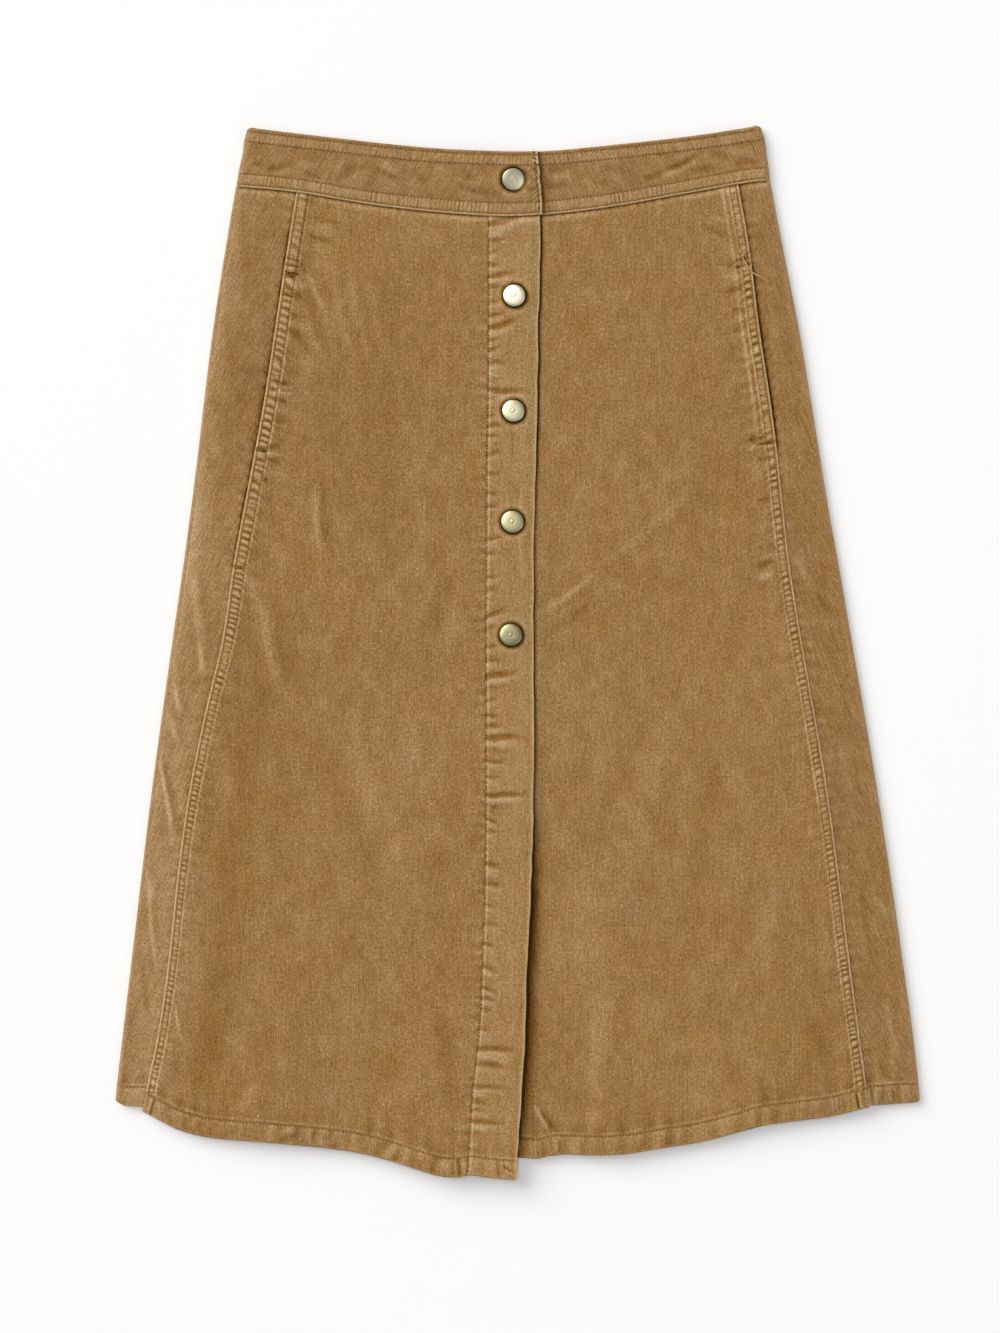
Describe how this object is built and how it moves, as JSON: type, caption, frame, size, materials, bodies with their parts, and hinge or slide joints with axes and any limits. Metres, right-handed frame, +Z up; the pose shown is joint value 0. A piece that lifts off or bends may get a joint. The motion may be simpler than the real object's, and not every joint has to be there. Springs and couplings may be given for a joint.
{
  "type": "a-line skirt",
  "caption": "A-line midi skirt in fine-wale corduroy with a shaped waistband, snap-fastened front placket, seamed side panels and in-seam pockets, laid flat.",
  "frame": {"origin": "middle of the skirt's outline, on the surface that it lies on", "axes": "+X to the viewer's right across the skirt, +Y from the hem to the waistband, +Z up out of the front"},
  "size_m": [0.5626, 0.7372, 0.0155],
  "materials": {
    "corduroy": "fine-wale cotton corduroy in camel, brushed nap, slightly worn along the seams",
    "pocketing": "plain cotton twill",
    "snaps": "pale antique brass, finely brushed, dark in the rim"
  },
  "bodies": {
    "root": {"back": "corduroy", "front_left": "corduroy", "front_right": "corduroy", "placket_left": "corduroy", "placket_right": "corduroy", "side_left": "corduroy", "side_right": "corduroy", "waistband_left": "corduroy", "waistband_right": "corduroy", "pocket_bag_left": "pocketing", "pocket_bag_right": "pocketing", "snap_cap_1": "snaps", "snap_cap_2": "snaps", "snap_cap_3": "snaps", "snap_cap_4": "snaps", "snap_cap_5": "snaps", "snap_socket_1": "snaps", "snap_socket_2": "snaps", "snap_socket_3": "snaps", "snap_socket_4": "snaps", "snap_socket_5": "snaps", "snap_stud_1": "snaps", "snap_stud_2": "snaps", "snap_stud_3": "snaps", "snap_stud_4": "snaps", "snap_stud_5": "snaps"}
  },
  "joints": []
}
